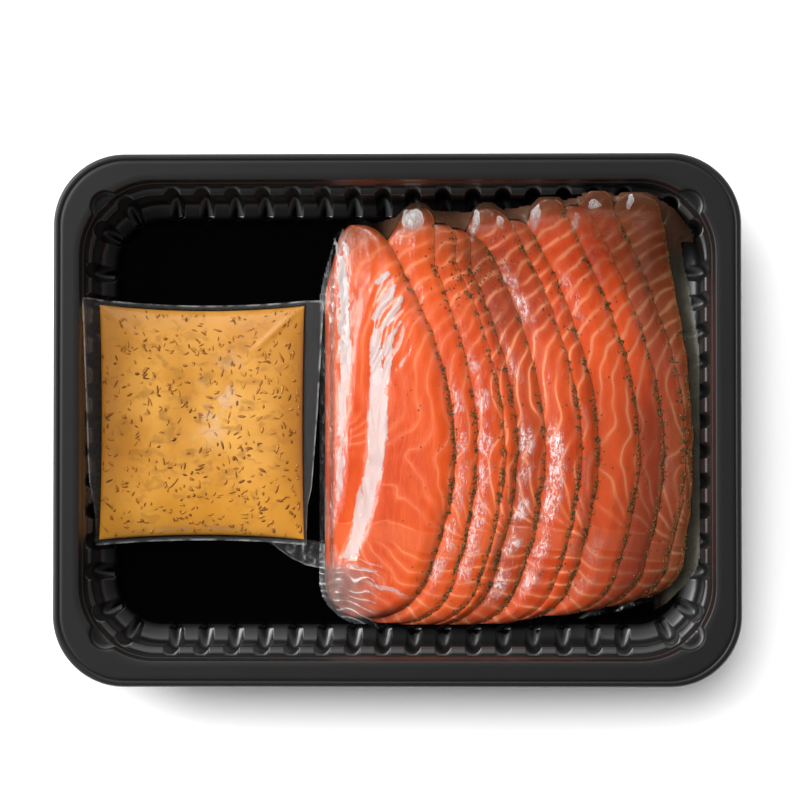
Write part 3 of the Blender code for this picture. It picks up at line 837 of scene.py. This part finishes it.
def filmLook():
    look = Look("clear_film")
    away, first, haze, white, folded, green, paintedCrinkleSheen = look.attributes(
        "away", "first", "haze", "white", "folded", "green", "crinkled")
    brineHere, veil, foldPhase, shardHere, shine = look.attributes(
        "brine", "veil", "foldPhase", "shard", "shine")
    creases = look.noise(260, (1, 0.3, 1), 3, 0.55, 0.6)
    crinkle = look.noise(900, (1, 0.45, 1), 2, 0.6, 0.8)
    streak = look.noise(150, (1, 0.22, 1), 3, 0.6, 0.4)
    sparkle = look.noise(1000, (1, 0.55, 1), 2, 0.6, 1.2)
    facing = look.node("ShaderNodeLayerWeight", None, {"Blend": 0.25})
    rest = 1 - first
    outside = look.step(away, 0, 0.7)
    brine = look.largest(look.largest(brineHere, green) * outside, veil * 0.86)
    gloss = look.step(crinkle, 0.5, 0.66) * look.step(streak, 0.44, 0.6)
    turn = look.math("FRACT", foldPhase + crinkle * 0.12)
    paintedCrestLine = look.step(look.math("ABSOLUTE", turn - 0.5), 0.14, 0.02) * look.step(streak, 0.35, 0.6) * folded
    glitter = look.step(sparkle + streak * 0.2, 0.56, 0.66)
    shard = look.step(shardHere + (crinkle - 0.5) * 0.8 + (creases - 0.5) * 0.9, 0.46, 0.6)
    patchy = look.step(crinkle + streak * 0.4, 0.5, 0.85)
    # painted highlights: the film is painted white instead of metal on crumples, white spots, fold crests,
    # crinkles and glints
    paintedWhite = haze * (0.3 + patchy * 0.5) + white * (0.2 + patchy * 0.8)
    paintedHighlight = look.largest(look.step(haze + white, 0.02, 0.14), paintedCrestLine * 0.7, paintedCrinkleSheen * 0.75, shard)
    murky = look.mix(green, (0.125, 0.058, 0.034), (0.105, 0.095, 0.07))
    tint = look.mix(look.step(look.largest(white, shard), 0.05, 0.3), (1, 1, 1), (0.5, 0.5, 0.49))
    look.set(Base_Color=look.mix(look.step(brine, 0, 0.25) * (1 - paintedHighlight), tint, murky),
             Metallic=1 - look.largest(brine, paintedHighlight),
             Roughness=0.13 + rest * 0.14,
             Alpha=first * (0.028 + look.step(streak, 0.3, 0.6) * 0.014) + rest * (gloss * 0.11 + 0.008)
             + facing * (0.01 + outside * 0.03) + brine * (0.7 - green * 0.3) + paintedWhite * 0.5
             + paintedCrestLine * (0.06 + folded * 0.24) + paintedCrinkleSheen * (0.07 + glitter * 0.36) + shard * shine,
             Normal=look.bump(creases + crinkle * rest * 0.8, 0.0006, 0.5))
    return look


clear = filmLook()
filmPiece, stackField = makeFilm()
dress(filmPiece, clear, "clear_film", "pouch_margin")
print("film done")


# Chopped dill: small bent leaves along every slice's cured edge, and some strewn over the stack

dill = {
    "perMillimetre": 9, "length": (0.4, 1.3), "width": (0.2, 0.5), "thick": (0.1, 0.2), "bend": 0.3,
    "spread": 0.3, "strewn": 230, "patches": (
        (24, 48, 6.5, 150), (1, 49, 0.7, 9), (4.4, 43.5, 0.8, 9), (7.7, 37.5, 0.8, 8),
        (47.5, -51, 0.9, 14), (33, 50, 5, 60), (60, 44, 8, 50),
    ),
}


def makeLeaves(name, spots, sizes, turns, lean, tones, bend):  # a closed leaf on each spot, in one mesh
    along = np.array([-1] + [-0.42] * 4 + [0.42] * 4 + [1])
    sides = [0] + [0, 1, 0, -1] * 2 + [0]
    rise = [0] + [1, 0, -1, 0] * 2 + [0]
    leaf = np.array([along, sides, rise]).T[None] * sizes[:, None] / 2
    leaf[:, :, 1] += bend * along ** 2 * sizes[:, :1] / 2 * np.sign(lean)[:, None]
    leaf[:, :, 2] += lean[:, None] * leaf[:, :, 0]
    turnX = np.cos(turns)[:, None]
    turnY = np.sin(turns)[:, None]
    x = spots[:, :1] + leaf[:, :, 0] * turnX - leaf[:, :, 1] * turnY
    y = spots[:, 1:2] + leaf[:, :, 0] * turnY + leaf[:, :, 1] * turnX
    z = spots[:, 2:] + leaf[:, :, 2]
    faces = []
    for k in range(4):
        after = (k + 1) % 4
        faces += [(0, 1 + k, 1 + after), (9, 5 + after, 5 + k), (1 + k, 5 + k, 5 + after, 1 + after)]
    joined = [[corner + 10 * number for corner in face] for number in range(len(spots)) for face in faces]
    mesh = bpy.data.meshes.new(name)
    mesh.from_pydata(np.stack([x.ravel(), y.ravel(), z.ravel()], axis=1) * mm, [], joined)
    piece = addObject(mesh)
    bpy.ops.object.select_all(action="DESELECT")
    bpy.context.view_layer.objects.active = piece
    piece.select_set(True)
    bpy.ops.object.mode_set(mode="EDIT")
    faceOutwards()
    setValues(piece, tone=np.repeat(tones, 10))
    return piece


def stackHeight(x, y):  # the slices' top surface at scattered places
    gridX, gridY, fishTop = stackField
    column = np.rint((x - gridX[0, 0]) / (gridX[1, 0] - gridX[0, 0])).astype(int)
    row = np.rint((y - gridY[0, 0]) / (gridY[0, 1] - gridY[0, 0])).astype(int)
    return fishTop[np.clip(column, 0, len(fishTop) - 1), np.clip(row, 0, fishTop.shape[1] - 1)]


def makeDill():
    x = []
    y = []
    for index in range(len(rights)):
        run = tops[index] - tails[index]
        along = tails[index] + 1 + (run - 3) * random.random(int(run * dill["perMillimetre"]))
        edge = sliceEdges(index, along)[1]
        bare = 0.02 + 0.5 * smoothStep(0, 36, along) - 0.5 * random.random(len(along)) ** 2
        grouped = ripples(along, along * 0, (2.4, 6), 700 + index) > bare
        loose = dill["spread"] * (1 + 2.2 * random.random(len(along)) ** 2)
        x.append((edge - 0.5 + loose * random.normal(0, 1, len(along)))[grouped])
        y.append(along[grouped])
    x.append(random.uniform(-2, 96, dill["strewn"]))
    y.append(random.uniform(-64, 66, dill["strewn"]))
    for middleX, middleY, spread, count in dill["patches"]:
        x.append(random.normal(middleX, spread, count))
        y.append(random.normal(middleY, spread, count))
    x = np.concatenate(x)
    y = np.concatenate(y)
    z = stackHeight(x, y)
    x, y, z = (values[z > 0.5] for values in (x, y, z))
    count = len(x)
    sizes = np.stack([random.uniform(*dill[key], count) for key in ("length", "width", "thick")], axis=1)
    sizes[:, 0] *= random.uniform(0.6, 1, count)
    turns = math.pi / 2 + random.normal(0, 0.9, count)
    tones = random.random(count)
    spots = np.stack([x, y, z + 0.1], axis=1)
    lean = random.normal(0, 0.12, count)
    return makeLeaves("chopped_dill", spots, sizes, turns, lean, tones, dill["bend"])


def dillLook(name, stops):
    look = Look(name)
    tone = look.attributes("tone")[0]
    vein = look.noise(1500, detail=2)
    look.set(Base_Color=look.ramp(tone + vein * 0.1 - 0.05, stops), Roughness=0.5 + vein * 0.2,
             Normal=look.bump(vein, 0.00005, 0.5))
    return look


green = dillLook("dill", [
    (0, (0.016, 0.012, 0.003)), (0.4, (0.04, 0.034, 0.006)), (0.65, (0.1, 0.06, 0.011)),
    (0.85, (0.17, 0.06, 0.011)), (1, (0.24, 0.12, 0.028))])
dress(makeDill(), green, "cured_fish")
print("dill done")


# Sachet of sauce, its left side leaning on the tray's wall

sachet = {
    "centre": (-65.6, -0.4), "half": (34.2, 39.4), "thick": 5.8, "dip": 0.0045, "lean": 0.13,
    "waist": 1.6, "waistSide": 0.64, "square": 0.6, "sealThick": 0.3, "pillowShares": (0.86, 0.96),
    "leftSeal": ((-1, 0.3), (-0.8, 0.5), (-0.66, 1.4), (-0.52, 2.7), (-0.3, 3.2), (0, 3.4), (0.5, 3.8),
                 (1, 4.1)),
    "rightSeal": ((-1, 0.5), (-0.84, 0.8), (-0.7, 1.2), (-0.55, 2.7), (-0.3, 3.6), (0.1, 4.9), (0.6, 5.8),
                  (1, 6.2)),
    "stand": 14, "standNear": 0.35, "end": 1.6, "herbs": 560, "herbLength": 3.8, "herbWidth": (0.45, 1),
    "flapX": (-47.5, -42, -36.5, -31, -27, -24.8), "flapLowY": (-38.8, -41.5, -45.6, -48.2, -49, -49.3),
    "flapHighY": (-38.2, -38.6, -39, -39.4, -40.2, -41),
}


def sachetPoint(across, along, side, shrink=0):  # side is -1 below and 1 above; past 1 lie the seals
    innerX = np.clip(across, -1, 1)
    innerY = np.clip(along, -1, 1)
    x = innerX * (sachet["half"][0] - shrink - sachet["waistSide"] * (1 - innerY ** 2))
    y = innerY * (sachet["half"][1] - shrink - sachet["waist"] * (1 - innerX ** 2))
    bulge = ((1 - innerX ** 4) * (1 - innerY ** 4)) ** sachet["square"]
    half = sachet["sealThick"] + (sachet["thick"] - shrink - sachet["sealThick"]) * bulge
    lowest = sachet["lean"] / (2 * sachet["dip"])
    z = stack["rest"] + sachet["thick"] + sachet["dip"] * (x - lowest) ** 2
    past = np.abs(across) - np.abs(innerX)
    upper = smoothStep(-1.2, 0.6, innerY)
    stand = sachet["stand"] * (sachet["standNear"] + (1 - sachet["standNear"]) * upper)
    leftSeal = np.interp(innerY, *zip(*sachet["leftSeal"]))
    rightSeal = np.interp(innerY, *zip(*sachet["rightSeal"]))
    x = x + np.where(across < 0, -past * leftSeal, past * rightSeal)
    z = z + np.where(across < 0, stand * np.sqrt(past), 0)
    y = y + sachet["end"] * (along - innerY)
    return sachet["centre"][0] + x, sachet["centre"][1] + y, z + half * side


def cornerFolds(across, along):  # the pillow's puckers, from its far corners inwards
    reach = clamp((1 - along) / 0.42)
    middle = 0.97 - 0.52 * reach
    fold = np.exp(-((np.abs(across) - middle) / 0.045) ** 2)
    return 0.55 * fold * np.sin(math.pi * clamp(reach * 1.05)) ** 0.7


def saucePoint(across, along, side):
    x, y, z = sachetPoint(across, along, side, 0.25)
    swell = 0.16 * ripples(x, y, (13, 24), 900) * (1 - across ** 8) * (1 - along ** 8)
    return x, y, z + (swell + cornerFolds(across, along)) * (side > 0)


def makeSauce():
    piece = addSlab("mustard_dill_sauce", 90, 100)
    across, along, upper = getPoints(piece)
    across = towardsEnds(across)
    along = towardsEnds(along)
    setPoints(piece, *saucePoint(across, along, upper * 2 - 1))
    setValues(piece, across=across, along=along)
    return piece


def sauceLook():
    look = Look("mustard_dill_sauce")
    across, along = look.attributes("across", "along")
    cloud = look.noise(45, detail=4, rough=0.55)
    smudge = look.noise(190, (1, 1.4, 1), 2, 0.6, 0.5)
    speck = look.noise(900, detail=3, rough=0.7)
    sides = look.step(look.math("ABSOLUTE", across), 0.45, 1.02)
    color = look.mix(look.step(cloud, 0.3, 0.7), (0.42, 0.175, 0.02), (0.58, 0.29, 0.056))
    color = look.mix(look.step(speck, 0.55, 0.75) * 0.2, color, (0.4, 0.15, 0.018))
    color = look.mix(look.step(smudge, 0.5, 0.68) * 0.62, color, (0.26, 0.115, 0.022))
    # painted shade: the pillow's sides darker, where it curves down away from the light
    color = look.mix(sides * 0.8, color, (0.33, 0.125, 0.013))
    # painted light: the near end lighter
    color = look.mix(look.step(along, -0.1, -1.05) * 0.45, color, (0.62, 0.27, 0.022))
    color = look.mix(look.step(along, 0.3, 1) * 0.55, color, (0.4, 0.165, 0.017))
    look.set(Base_Color=color, Roughness=0.4, Subsurface_Weight=0.15, Subsurface_Scale=0.003,
             Subsurface_Radius=(1, 0.5, 0.15),
             Normal=look.bump(cloud + speck * 0.3, 0.0001, 0.4))
    return look


def makeSauceHerbs():  # cut dill on the sauce's surface
    count = sachet["herbs"]
    across = random.uniform(-0.97, 0.97, count)
    along = random.uniform(-0.97, 0.97, count)
    spots = np.stack(saucePoint(across, along, np.ones(count)), axis=1)
    long = sachet["herbLength"] * random.uniform(0.4, 1, count) ** 1.3
    wide = random.uniform(*sachet["herbWidth"], count)
    sizes = np.stack([long, wide, random.uniform(0.12, 0.2, count)], axis=1)
    turns = random.uniform(0, math.pi, count)
    tones = random.random(count)
    return makeLeaves("dill_in_sauce", spots, sizes, turns, random.normal(0, 0.03, count), tones, 0.04)


def pastPillow(place, pillow):  # up to 1 over the pillow's share of the grid, then up to 2 on the seal
    far = np.abs(place)
    past = 1 + (far - pillow) / (1 - pillow)
    return np.where(far > pillow, past, towardsEnds(far / pillow)) * np.sign(place)


def makeSachetFilm():
    piece = addSlab("clear_sachet_film", 110, 110)
    across, along, upper = getPoints(piece)
    across = pastPillow(across, sachet["pillowShares"][0])
    along = pastPillow(along, sachet["pillowShares"][1])
    x, y, z = sachetPoint(across, along, upper * 2 - 1)
    setPoints(piece, x, y, z + cornerFolds(np.clip(across, -1, 1), np.clip(along, -1, 1)) * upper)
    farX = np.abs(across)
    farY = np.abs(along)
    # painted highlights: light lines along the seals' outer edges and across the near end, and a pale patch
    # on the pillow
    border = np.maximum(smoothStep(1.94, 1.985, farX), smoothStep(1.86, 1.96, farY))
    paintedLineNearEnd = smoothStep(0.03, 0.01, np.abs(along + 0.93 + 0.02 * across ** 2))
    paintedLineNearEnd = paintedLineNearEnd * smoothStep(0.55, 0.4, np.abs(across + 0.02))
    bright = np.exp(-((across - 0.12 - 0.25 * along) / 0.22) ** 2 - ((along - 0.15) / 0.5) ** 2)
    setValues(piece, seal=np.maximum(smoothStep(1, 1.04, farX), smoothStep(1, 1.3, farY)),
              border=np.maximum(border, paintedLineNearEnd * upper), bright=bright * upper)
    return piece


def makeFlap():  # loose corner of the sachet's seal, folded below its near right corner
    piece = addGrid("sachet_film_flap", 40, 26)
    across, along = (getPoints(piece)[:2] + 1) / 2
    x = sachet["flapX"][0] + (sachet["flapX"][-1] - sachet["flapX"][0]) * across
    low = np.interp(x, sachet["flapX"], sachet["flapLowY"])
    y = low + (np.interp(x, sachet["flapX"], sachet["flapHighY"]) - low) * along
    crease = np.abs(ripples(x * 1.2, y, (9, 6), 930))
    setPoints(piece, x, y, 4.2 + 0.09 * (x + 47) + 0.5 * crease)
    # painted highlights along the flap's edges and in its creases
    rim = np.maximum(smoothStep(0.06, 0.02, along), smoothStep(0.96, 0.99, across))
    setValues(piece, seal=np.ones(len(x)), border=np.maximum(rim, smoothStep(0.06, 0.01, crease) * 0.9),
              bright=0.35 * smoothStep(0.6, 0, crease))
    return piece


def sachetFilmLook():
    look = Look("clear_sachet_film")
    seal, border, bright = look.attributes("seal", "border", "bright")
    creases = look.noise(120, detail=3, rough=0.5, twist=0.4)
    scratch = look.noise(500, (2, 0.25, 1), 2, 0.5, 0.3)
    broken = look.noise(170, detail=3, rough=0.6)
    # painted highlights: edge lines and the pale patch, broken up by noise
    border = border * look.step(broken, 0.36, 0.6)
    bright = bright * look.step(broken, 0.42, 0.62)
    facing = look.node("ShaderNodeLayerWeight", None, {"Blend": 0.2})
    look.set(Base_Color=(1, 1, 1), Metallic=1 - look.largest(seal, bright * 0.9),
             Roughness=0.14 + seal * 0.2,
             Alpha=0.016 + facing * 0.03 * (1 - seal) + border * 0.16 - seal * 0.006
             + seal * scratch * 0.012 + bright * 0.13,
             Normal=look.bump(creases, 0.0006, 0.4))
    return look


brown = dillLook("dill_in_sauce", [
    (0, (0.15, 0.05, 0.005)), (0.25, (0.26, 0.085, 0.008)), (0.5, (0.36, 0.125, 0.012)),
    (0.75, (0.42, 0.16, 0.018)), (1, (0.47, 0.2, 0.024))])
dress(makeSauce(), sauceLook(), "mustard_dill_sauce", "sauce_sachet")
dress(makeSauceHerbs(), brown, "mustard_dill_sauce")
sachetClear = sachetFilmLook()
dress(makeSachetFilm(), sachetClear, "clear_film")
dress(makeFlap(), sachetClear, "clear_film")
print("sachet done")


# White ground, soft studio light and the camera

studio = {
    "view": (0.028, -0.030, 1), "target": (1.15, 6.48, 33), "distance": 1300, "lens": 177.8,
    "boxFrom": (-0.70, 0.36, 0.62), "boxDistance": 1.1, "boxSize": (0.32, 0.85), "boxPower": 8.5,
    "sky": ((0, 0.12), (0.1, 0.25), (0.3, 1), (0.5, 0.9), (0.75, 0.35), (0.93, 0.02), (1, 0)),
    "skyUp": (0.115, -0.115, 0.985), "skyPower": 1.35, "overFrom": (-0.13, 0.28, 1), "overPower": 2.4,
    "overAngle": math.radians(36), "sideShares": (0.35, 2), "sideDots": (-0.6, 0.9),
    "sideFrom": (-0.72, 0.69, 0),
}


def aimed(direction):  # turns an object's Z to a direction, with Y near the world's Y
    zAxis = Vector(direction).normalized()
    xAxis = Vector((0, 1, 0)).cross(zAxis).normalized()
    yAxis = zAxis.cross(xAxis)
    return Matrix((xAxis, yAxis, zAxis)).transposed().to_4x4()


def makeGround():
    bpy.ops.object.select_all(action="DESELECT")
    bpy.ops.mesh.primitive_plane_add(size=6.0)
    ground = bpy.context.active_object
    ground.name = "white_ground"
    look = Look("white_ground")
    paper = look.noise(40, detail=2)
    look.set(Base_Color=look.mix(paper, (0.93, 0.93, 0.93), (0.95, 0.95, 0.95)), Roughness=0.7)
    ground.data.materials.append(look.owner)


def makeLight():
    direction = Vector(studio["boxFrom"]).normalized()
    lamp = bpy.data.lights.new("softbox", "AREA")
    lamp.shape = "RECTANGLE"
    lamp.size, lamp.size_y = studio["boxSize"]
    lamp.energy = studio["boxPower"]
    addObject(lamp, Matrix.Translation(direction * studio["boxDistance"]) @ aimed(direction))
    lamp = bpy.data.lights.new("overhead", "SUN")
    lamp.energy = studio["overPower"]
    lamp.angle = studio["overAngle"]
    addObject(lamp, aimed(studio["overFrom"])).visible_glossy = False


def makeWorld():  # bright overhead and on one side, dark low down
    sky = Look("studio", "worlds", "Background")
    bpy.context.scene.world = sky.owner
    ray = sky.node("ShaderNodeTexCoord")
    along = {"operation": "DOT_PRODUCT"}
    up = sky.node("ShaderNodeVectorMath", along, {0: ray, 1: studio["skyUp"]}, "Value")
    aside = sky.node("ShaderNodeVectorMath", along, {0: ray, 1: studio["sideFrom"]}, "Value")
    fade = sky.ramp(up, [(place, (level, level, level)) for place, level in studio["sky"]])
    levels = (share * studio["skyPower"] for share in studio["sideShares"])
    sky.set(Color=(1, 1, 1), Strength=fade * sky.step(aside, *studio["sideDots"], *levels))


def makeCamera():
    data = bpy.data.cameras.new("camera")
    data.sensor_width = 36
    data.lens = studio["lens"]
    data.clip_start = 0.05
    back = Vector(studio["view"]).normalized()
    place = (Vector(studio["target"]) + back * studio["distance"]) * mm
    bpy.context.scene.camera = addObject(data, Matrix.Translation(place) @ aimed(back))


makeGround()
makeLight()
makeWorld()
makeCamera()
bpy.context.scene.view_settings.view_transform = "Standard"
bpy.context.scene.view_settings.look = "None"
